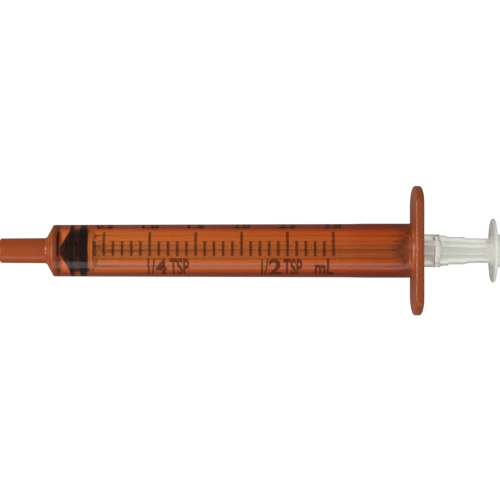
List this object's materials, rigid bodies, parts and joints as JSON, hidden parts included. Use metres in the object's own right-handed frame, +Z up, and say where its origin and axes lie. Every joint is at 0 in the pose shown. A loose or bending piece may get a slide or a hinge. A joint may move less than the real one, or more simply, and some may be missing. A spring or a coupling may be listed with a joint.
{
  "type": "oral syringe",
  "caption": "Oral liquid-medicine syringe: amber tube with tapered shoulder, blunt nozzle and finger flange, black rubber stopper and ribbed plunger rod with thumb rest.",
  "frame": {"origin": "middle of the syringe's length and width, at the level of the flange's lower flat, on which it rests", "axes": "+X along the syringe from the nozzle to the thumb rest, +Y along the finger flange's long side, +Z up, square to the flange's flats"},
  "size_m": [0.096, 0.025, 0.0146],
  "materials": {
    "amber_polypropylene": "moulded, translucent amber, glossy",
    "black_rubber": "moulded, satin, silicone-oiled",
    "natural_polypropylene": "moulded, clear to milky, glossy"
  },
  "bodies": {
    "barrel": {"barrel": "amber_polypropylene"},
    "stopper": {"stopper": "black_rubber"},
    "rod": {"plunger_rod": "natural_polypropylene"}
  },
  "joints": [
    {"name": "plunger_slide", "type": "slide", "parent": "barrel", "child": "stopper", "axis": [1, 0, 0], "range_m": [-0.00205, 0.0608]},
    {"name": "rod_twist", "type": "hinge", "parent": "stopper", "child": "rod", "pos_m": [-0.0313, 0, 0.0073], "axis": [1, 0, 0], "continuous": true}
  ]
}
